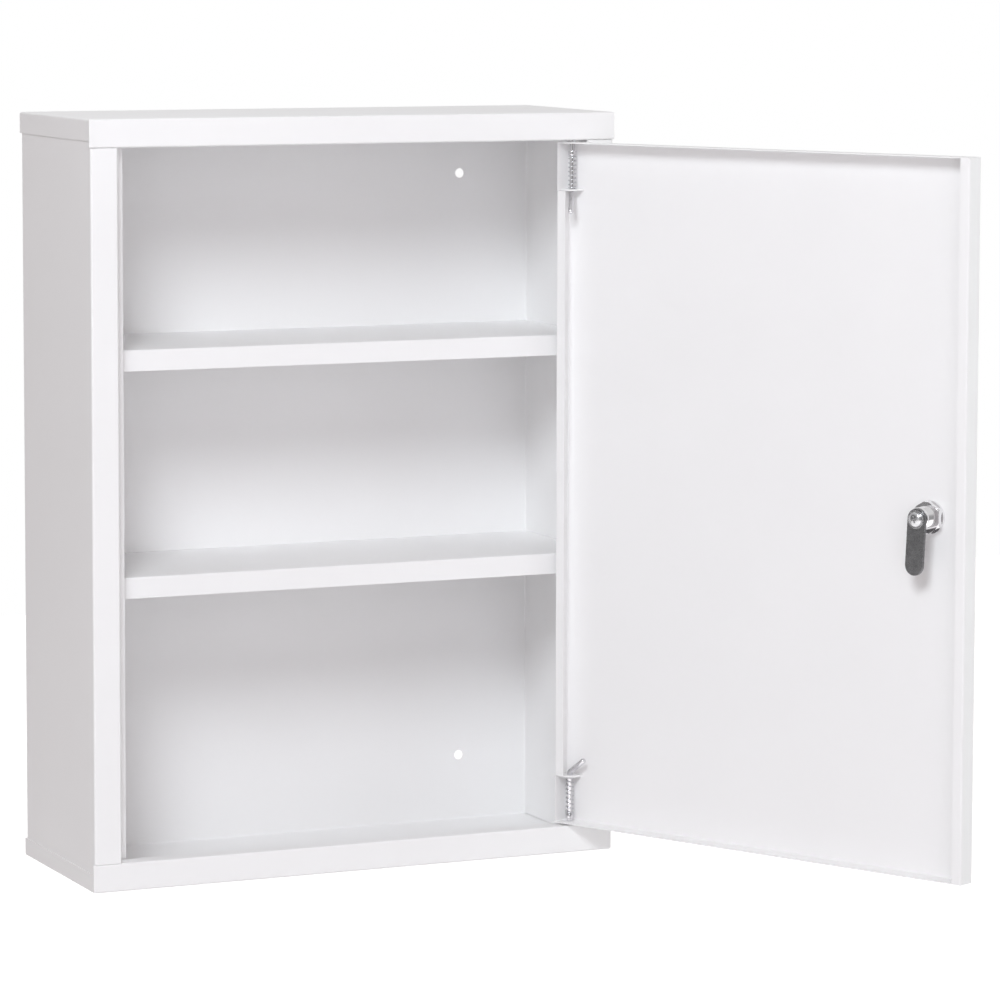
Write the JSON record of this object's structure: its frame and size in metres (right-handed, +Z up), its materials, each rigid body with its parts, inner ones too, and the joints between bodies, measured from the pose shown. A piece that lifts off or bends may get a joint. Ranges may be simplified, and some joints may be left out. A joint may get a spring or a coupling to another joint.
{
  "type": "lockable medicine cabinet",
  "caption": "White folded-steel wall cabinet with a side-hinged door, cam lock and key, sprung lift-out hinge pins and fixed shelves.",
  "frame": {"origin": "centre of the four wall holes, on the rear face of the back panel", "axes": "+X to the right seen from the front, +Y into the wall, so the front faces -Y, +Z up"},
  "size_m": [0.5377, 0.4582, 0.54],
  "materials": {
    "case_paint": "satin white powder coat",
    "door_paint": "satin white powder coat",
    "bracket_paint": "satin white powder coat",
    "pin_steel": "bright zinc plate",
    "spring_steel": "bright zinc plate",
    "lock_chrome": "polished chrome plate",
    "cam_steel": "smooth dark zinc plate",
    "wafer_brass": "plain",
    "key_nickel": "nickel plate"
  },
  "bodies": {
    "cabinet": {"left_side_panel": "case_paint", "right_side_panel": "case_paint", "top_cap": "case_paint", "bottom_tray": "case_paint", "back_panel": "case_paint", "upper_shelf": "case_paint", "lower_shelf": "case_paint"},
    "door": {"door_panel": "door_paint", "upper_hinge_bracket": "bracket_paint", "lower_hinge_bracket": "bracket_paint", "upper_hinge_spring": "spring_steel", "lower_hinge_spring": "spring_steel", "lock_housing": "lock_chrome", "lock_washer": "lock_chrome", "lock_nut": "lock_chrome"},
    "upper_pin": {"upper_hinge_pin": "pin_steel", "upper_pin_collar": "pin_steel"},
    "lower_pin": {"lower_hinge_pin": "pin_steel", "lower_pin_collar": "pin_steel"},
    "lock_cylinder": {"lock_plug": "lock_chrome", "lock_wafers": "wafer_brass", "wafer_springs": "spring_steel", "lock_cam": "cam_steel", "cam_washer": "lock_chrome", "cam_screw": "lock_chrome"},
    "key": {"key": "key_nickel"}
  },
  "joints": [
    {"name": "door_hinge", "type": "hinge", "parent": "cabinet", "child": "door", "pos_m": [0.1694, -0.1422, 0], "axis": [0, 0, 1], "range_deg": [-116.5, 1.5]},
    {"name": "upper_pin_slide", "type": "slide", "parent": "door", "child": "upper_pin", "axis": [0, 0, -1], "range_m": [0, 0.006], "stiffness_N_per_m": 2800, "springref_m": -0.003, "deforming": ["upper_hinge_spring"]},
    {"name": "lower_pin_slide", "type": "slide", "parent": "door", "child": "lower_pin", "axis": [0, 0, 1], "range_m": [0, 0.006], "stiffness_N_per_m": 2600, "springref_m": -0.003, "deforming": ["lower_hinge_spring"]},
    {"name": "lock_turn", "type": "hinge", "parent": "door", "child": "lock_cylinder", "pos_m": [0.31305, -0.41686, 0.001], "axis": [-0.8949, -0.4462, 0], "range_deg": [0, 93]},
    {"name": "key_slide", "type": "slide", "parent": "lock_cylinder", "child": "key", "axis": [0.8949, 0.4462, 0], "range_m": [0, 0.016]}
  ]
}
